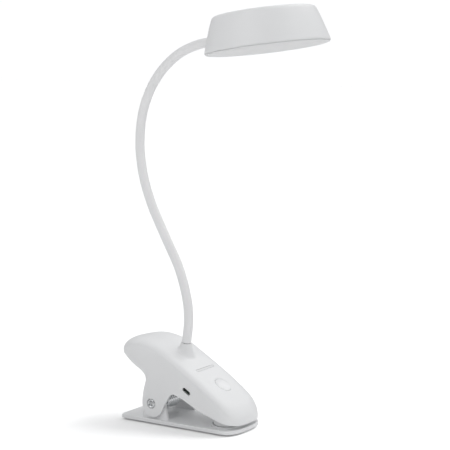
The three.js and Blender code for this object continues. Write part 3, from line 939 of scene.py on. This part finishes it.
button_seat = on_slope(button_along, 0, button_above)
button_hole_profile = [
    (0, -9), (7.42, -9), (7.42, -0.5), (7.48, -0.24), (7.62, -0.04), (7.9, 0.1), (8.6, 0.24),
    (8.6, 6), (0, 6),
]
cutters = [
    turned("cutter", [(0, -24), (3.3, -24), (3.3, 4), (0, 4)], 40, collar_seat),
    turned("cutter", button_hole_profile, 64, button_seat),
    pill_cutter(
        indicator_length + 0.3, indicator_width + 0.3, 8, 0.15,
        indicator_seat @ Matrix.Translation((0, 0, 0.12)),
    ),
    pill_cutter(
        socket_length, socket_width, 6, 0.35,
        on_slope(0, -jaw_half_width, 0) @ Matrix.Rotation(quarter_turn, 4, "X"),
    ),
]
recess_profile = [
    (0, -6), (3.65, -6), (3.65, -1.55), (4.0, -1.5), (4.25, -1.3), (4.3, -0.45), (4.42, -0.15),
    (4.8, 0), (4.8, 3), (0, 3),
]
for side in (-1, 1):
    ear_face = Vector((pivot.x, side * jaw_half_width, pivot.z))
    turn = Matrix.Rotation(-side * quarter_turn, 4, "X")
    cutters.append(turned("cutter", recess_profile, 48, Matrix.Translation(ear_face) @ turn))
cut_by(jaw_shell, *cutters)
weighted = jaw_shell.modifiers.new("even_shading", "WEIGHTED_NORMAL")
weighted.keep_sharp = True
weighted.weight = 80
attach(jaw_shell, "upper_jaw")
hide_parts("top_shell")
finish_with(jaw_shell, satin_abs)


# ---------------------------- bottom cover
# The underside of the upper jaw: a curved plate of the same white ABS that drops between
# the shell's walls and is held from below by two screws.

cover_thickness, cover_gap = 1.8, 0.35
# The cover's underside from the nose back to the tail.
underside = [
    (-70, 59.6), (-61, 58.8), (-55, 57.6), (-49, 54.6), (-42, 50.6), (-36, 47), (-30, 43), (-22, 39.6),
    (-12, 36), (-3, 31.6), (5.5, 27.4), (14.5, 23), (26, 17.9), (37, 14.2), (44, 12.3),
    (50, 10.9), (62, 9.4),
]
underside_line = curve_through(underside)


def fill_rows(bm, outline, middle, squeeze, height, rows=12):
    """A curved sheet over the outline, in rows of quads from its edge to its middle line."""
    loops = []
    for row in range(rows + 1):
        plan = drawn_in(outline, row / rows, middle, squeeze)
        loops.append(loop_of(bm, [(x, y, height(x, y)) for x, y in plan]))
    loft(bm, loops, capped=False)


def curved_plate(outline, middle, squeeze, low, high, rim, segments=3):
    """A closed plate between two curved sheets of one outline, its rim rounded."""
    bm = bmesh.new()
    for height in (low, high):
        fill_rows(bm, outline, middle, squeeze, height)
    bmesh.ops.remove_doubles(bm, verts=bm.verts, dist=0.01)
    bmesh.ops.bridge_loops(bm, edges=[edge for edge in bm.edges if edge.is_boundary])
    bmesh.ops.recalc_face_normals(bm, faces=bm.faces)
    round_edges(bm, sharp_edges(bm, lambda e: True, 60), rim, segments)
    return bm


bm = curved_plate(
    jaw_outline(jaw_wall + cover_gap)[::2], spine_middle, spine_share,
    lambda x, y: height_on(underside_line, x),
    lambda x, y: height_on(underside_line, x) + cover_thickness, 0.3, 2,
)
cover = new_piece(bm, "upper_jaw_cover", 40)
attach(cover, "upper_jaw")
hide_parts("bottom_cover")
finish_with(cover, satin_abs)


# ---------------------------- upper grip pad
# The upper pad matches the lower one. Its back follows the cover's slope, to which it is
# glued, and its smooth face closes on the grooves of the lower pad.

upper_pad_low, upper_pad_high = in_mm("upper_grip_pad")
upper_plan = superellipse(upper_pad_low.x, 42, upper_pad_high.x, upper_pad_high.y, 2.2, 2.4)
bm = curved_plate(
    upper_plan, 40, 0.5,
    lambda x, y: upper_pad_low.z,
    lambda x, y: height_on(underside_line, x) - 0.4, 0.5,
)
upper_pad = new_piece(bm, "upper_silicone_pad", 50)
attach(upper_pad, "upper_jaw")
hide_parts("upper_grip_pad")
finish_with(upper_pad, grip_silicone)


# ---------------------------- power button
# A round push button with a slightly dished face, moulded in ABS with a softer gloss.
# It sits in the slope with a fine seam round it, and its stem reaches the switch inside.

button_profile = [
    (0, -10), (1.5, -10), (1.6, -9.8), (1.6, -1.8), (7.1, -1.8), (7.25, -1.65), (7.32, -0.5),
    (7.28, -0.12), (7.1, 0.08), (6.8, 0.1), (6.3, -0.02), (5.4, -0.3), (4.2, -0.6),
    (2.8, -0.84), (1.4, -0.97), (0, -1.0),
]
button = turned("power_button_cap", button_profile, 72, button_seat, 50)
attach(button, "button")
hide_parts("power_button")
button_abs = moulded(
    "button_abs", (0.82, 0.825, 0.83), (0.86, 0.865, 0.87), (0.26, 0.34), 2200, 0.00001,
)
finish_with(button, button_abs)


# ---------------------------- charge indicator
# A light pipe of clear-white acrylic: a narrow pill across the slope, flush with the shell, 2 mm deep.
# The round stem by which it stands over the indicator LED of the board is not drawn here.

pipe_depth = 2
bm = bmesh.new()
pipe_foot = [(x, y, -pipe_depth) for x, y in pill(indicator_length, indicator_width)]
push_face(bm, face_from(bm, pipe_foot), (0, 0, pipe_depth))
bmesh.ops.recalc_face_normals(bm, faces=bm.faces)
round_edges(bm, sharp_edges(bm, lambda e: lowest(e) > -0.1), 0.25, 3)
bmesh.ops.transform(bm, verts=bm.verts, matrix=indicator_seat)
indicator = new_piece(bm, "indicator_light_pipe", 50)
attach(indicator, "upper_jaw")
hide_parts("charge_indicator")
light_pipe = moulded(
    "frosted_acrylic", (0.72, 0.725, 0.73), (0.76, 0.765, 0.77), (0.30, 0.40), 1800, 0.00001,
)
finish_with(indicator, light_pipe)


# ---------------------------- bendable neck
# A gooseneck in a sleeve of soft white silicone, 8 mm across. The sleeve is drawn over the
# steel core and pushed on the collar, and it bends evenly from link to link.

neck_radius = 4
neck_points = [
    (-5.5, 68.5), (-3.4, 86), (-4.4, 104), (-12.4, 131), (-27.2, 158.6), (-41.4, 186), (-50.1, 212),
    (-52.9, 239), (-48.6, 267), (-35.3, 292.6), (-15, 311.4), (5, 320.2), (26, 324), (42, 326.2),
]


def centripetal(points, steps):
    """A centripetal Catmull-Rom line through the points."""
    first = tuple(2 * a - b for a, b in zip(points[0], points[1]))
    last = tuple(2 * a - b for a, b in zip(points[-1], points[-2]))
    ends = [first] + list(points) + [last]
    line = []
    for a, b, c, d in zip(ends, ends[1:], ends[2:], ends[3:]):
        before, span, after = (math.dist(p, q) ** 0.5 for p, q in ((a, b), (b, c), (c, d)))
        for step in range(steps):
            t = step / steps
            point = []
            for p, q, r, s in zip(a, b, c, d):
                start = ((q - p) / before - (r - p) / (before + span) + (r - q) / span) * span
                end = ((r - q) / span - (s - q) / (span + after) + (s - r) / after) * span
                point.append(
                    q + start * t + (3 * (r - q) - 2 * start - end) * t ** 2
                    + (2 * (q - r) + start + end) * t ** 3
                )
            line.append(tuple(point))
    return line + [tuple(points[-1])]


neck_line = centripetal(neck_points, 60)
neck_travel = [0.0]
for near, far in zip(neck_line, neck_line[1:]):
    neck_travel.append(neck_travel[-1] + math.dist(near, far))
neck_length = neck_travel[-1]


def neck_place(station):
    """The neck's centre and direction, this far along it from the collar."""
    last = len(neck_travel) - 2
    index = next((i for i, walked in enumerate(neck_travel[1:]) if walked >= station), last)
    share = (station - neck_travel[index]) / (neck_travel[index + 1] - neck_travel[index])
    (x0, z0), (x1, z1) = neck_line[index], neck_line[index + 1]
    before, after = neck_line[max(0, index - 1)], neck_line[min(len(neck_line) - 1, index + 2)]
    along = Vector((after[0] - before[0], 0, after[1] - before[1])).normalized()
    return Vector((x0 + (x1 - x0) * share, 0, z0 + (z1 - z0) * share)), along


def neck_station(point):
    """How far along the neck the nearest point of its line lies."""
    index = min(range(len(neck_line)), key=lambda i: math.dist(neck_line[i], (point.x, point.z)))
    return neck_travel[index]


neck_joints = [joint for joint in frame["joints"] if joint["name"].startswith("neck_")]
joint_stations = [neck_station(Vector(joint["pos_m"]) / MM) for joint in neck_joints]
sleeve_start, sleeve_end = 0.35, neck_length - 9
ring_spacing, bend_half = 1.5, 15
sleeve_cuts = [sleeve_start]
sleeve_cuts += [(near + far) / 2 for near, far in zip(joint_stations, joint_stations[1:])]
sleeve_cuts += [sleeve_end]


def section_loop(bm, station, radius, segments=36):
    """A round section of the sleeve, square to the neck's line."""
    centre, along = neck_place(station)
    turn = along.to_track_quat("Z", "Y").to_matrix().to_4x4()
    ring = bmesh.ops.create_circle(
        bm, segments=segments, radius=radius, matrix=Matrix.Translation(centre) @ turn
    )["verts"]
    return edges_at(ring)


def sleeve_stretch(start, end, rolled_start):
    """One stretch of the sleeve, closed at its ends; the first has a small rolled lip."""
    bm = bmesh.new()
    steps = round((end - start) / ring_spacing)
    places = [(start + (end - start) * step / steps, neck_radius) for step in range(steps + 1)]
    if rolled_start:
        lip = [(0, 0.45), (0.05, 0.2), (0.2, 0.05), (0.45, 0)]
        places = [(start + along, neck_radius - inward) for along, inward in lip] + places[1:]
    loft(bm, [section_loop(bm, station, radius) for station, radius in places])
    return bm


neck_silicone = moulded(
    "neck_silicone", (0.80, 0.80, 0.805), (0.85, 0.85, 0.855), (0.50, 0.60), 1900, 0.00002,
)
for number, joint in enumerate(neck_joints, 1):
    start, end = sleeve_cuts[number - 1], sleeve_cuts[number]
    stretch = new_piece(sleeve_stretch(start, end, number == 1), f"neck_sleeve_stretch_{number}", 50)
    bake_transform(stretch)
    replaced = [f"neck_sleeve_{number}"]
    if number == len(neck_joints):
        replaced.append(f"neck_sleeve_{number + 1}")
    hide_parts(*replaced)
    finish_with(stretch, neck_silicone)


# ---------------------------- head housing
# A shallow round shade, moulded in satin white ABS with a draughted side and a small
# rounded top edge. The neck passes through its rear wall into a clamp block.

head_centre = Vector((74, 0, 318.7))
head_pitch = math.radians(-7.96)
head_seat = Matrix.Translation(head_centre) @ Matrix.Rotation(head_pitch, 4, "Y")
housing_profile = [
    (0, 27.4), (38, 26.9), (39.8, 26.2), (40.4, 24.6), (42.6, 20), (44.8, 13.5), (46.8, 7.5),
    (48.5, 2.2), (48.9, 0.35), (49.1, 0.08), (49.4, 0), (50.5, 0), (50.85, 0.12), (50.98, 0.45),
    (50.7, 1.9), (48.9, 8), (46.8, 14.5), (44.7, 20.9), (42.9, 25.6), (42.3, 26.9), (41.6, 27.9),
    (40.6, 28.6), (39.4, 28.98), (37.5, 29.15), (20, 29.32), (0, 29.38),
]
housing = turned("head_shade", housing_profile, 160, head_seat, 60)
bm = bmesh.new()
way_in_start, way_in_radius = neck_length - 40, neck_radius + 0.3
way_in = [section_loop(bm, way_in_start + 4 * step, way_in_radius, 40) for step in range(8)]
loft(bm, way_in)
cut_by(housing, new_piece(bm, "cutter"))
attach(housing, "head")
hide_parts("head_housing")
finish_with(housing, satin_abs)


# ---------------------------- diffuser
# The opal acrylic disc that closes the shade: slightly domed, with a rounded flange under the
# shade's edge, and a skirt that snaps into the shade.

diffuser_profile = [
    (0, -2.2), (20, -2.17), (34, -2.06), (42, -1.9), (46, -1.66), (48.5, -1.32), (49.7, -1.04),
    (50.2, -0.78), (50.36, -0.5), (50.3, -0.26), (50.0, -0.14), (48.6, -0.14), (48.42, 0),
    (48.42, 0.45), (48.2, 0.72), (47.1, 0.95), (47, 3.0), (46.85, 3.2), (46.2, 3.2), (46.05, 3.05),
    (46, 0.5), (45.6, 0.2), (40, 0.0), (20, -0.4), (0, -0.6),
]
diffuser = turned("opal_diffuser", diffuser_profile, 128, head_seat, 60)
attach(diffuser, "head")
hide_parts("diffuser")
opal_acrylic = moulded(
    "opal_acrylic", (0.76, 0.765, 0.77), (0.79, 0.795, 0.80), (0.42, 0.50), 1600, 0.00001,
)
opal_shader = opal_acrylic.node_tree.nodes["Principled BSDF"]
opal_shader.inputs["Subsurface Weight"].default_value = 0.25
opal_shader.inputs["Subsurface Radius"].default_value = (0.004, 0.004, 0.004)
opal_shader.inputs["Subsurface Scale"].default_value = 1
finish_with(diffuser, opal_acrylic)


# ---------------------------- metal parts inside
# What is left of the frame's own pieces is inside the shells. The screws, the neck's core
# and its clamp, the lock nut and the ferrule are turned or cut metal.

turned_zinc = polished("turned_zinc", (0.60, 0.61, 0.62), (0.25, 0.42), (1, 1, 6), 380)
milled_aluminium = polished("milled_aluminium", (0.68, 0.69, 0.70), (0.32, 0.48), (1, 10, 1), 160)
core_steel = polished("core_steel", (0.50, 0.50, 0.51), (0.30, 0.45), (1, 1, 8), 420)
nodes = frame["nodes"]
for name in nodes:
    if name.startswith(("cover_screw", "head_screw", "neck_lock_nut")):
        finish_with(nodes[name], turned_zinc)
    elif name.startswith("neck_core") or name == "neck_ferrule":
        finish_with(nodes[name], core_steel)
for name in ("neck_clamp", "heat_sink"):
    finish_with(nodes[name], milled_aluminium)


# ---------------------------- charging socket
# A charging socket's shell is drawn from tinned sheet steel and soldered to the board. The
# shell ends just behind the slot in the jaw's side.

tinned_sheet = polished("tinned_sheet", (0.55, 0.55, 0.56), (0.22, 0.36), (4, 1, 1), 300)
finish_with(nodes["charging_socket"], tinned_sheet)


# ---------------------------- circuit boards
# The control board is green glass fibre with copper tracks under its mask. The round board of
# the head is aluminium-backed with a white mask, so that it reflects the LEDs' light.


def board_material(name, mask, track, track_size):
    """A solder mask over a net of tracks, which stand up slightly and show a little paler."""
    material, tree, shader = new_material(name)
    place = add_node(tree, "TexCoord")
    cell_kind = {"feature": "DISTANCE_TO_EDGE", "distance": "EUCLIDEAN"}
    cells = add_node(tree, "TexVoronoi", cell_kind, Scale=track_size)
    lines = add_node(tree, "MapRange", From_Min=0.04, From_Max=0.07, To_Min=1, To_Max=0)
    colour = add_node(tree, "Mix", {"data_type": "RGBA"}, A=(*mask, 1), B=(*track, 1))
    gloss = add_node(tree, "MapRange", To_Min=0.35, To_Max=0.25)
    bump = add_node(tree, "Bump", Strength=0.5, Distance=0.00004)
    wire(
        tree,
        (place, "Object", cells, "Vector"),
        (cells, "Distance", lines, "Value"),
        (lines, "Result", colour, "Factor"),
        (colour, "Result", shader, "Base Color"),
        (lines, "Result", gloss, "Value"),
        (gloss, "Result", shader, "Roughness"),
        (lines, "Result", bump, "Height"),
        (bump, "Normal", shader, "Normal"),
    )
    return material


green_mask = board_material("green_mask", (0.02, 0.13, 0.06), (0.05, 0.22, 0.10), 300)
white_mask = board_material("white_mask", (0.80, 0.80, 0.78), (0.86, 0.86, 0.84), 120)
finish_with(nodes["circuit_board"], green_mask)
finish_with(nodes["led_board"], white_mask)


# ---------------------------- switch, LEDs and battery
# The switch is a black tact switch with its plunger under the button. The LEDs are phosphor
# gel in white cups, and the flat lithium cell is wrapped in grey-blue film.

switch_black = moulded(
    "switch_black", (0.012, 0.012, 0.013), (0.03, 0.03, 0.032), (0.42, 0.55), 2000, 0.00002,
)
finish_with(nodes["switch_body"], switch_black)
finish_with(nodes["switch_plunger"], switch_black)
phosphor_gel = moulded(
    "phosphor_gel", (0.80, 0.62, 0.16), (0.88, 0.74, 0.30), (0.25, 0.4), 900, 0.00002,
)
for number in range(1, 7):
    finish_with(nodes[f"led_{number}"], phosphor_gel)
battery_film = moulded(
    "battery_film", (0.17, 0.20, 0.24), (0.22, 0.25, 0.29), (0.24, 0.38), 500, 0.00003,
)
finish_with(nodes["battery_cell"], battery_film)
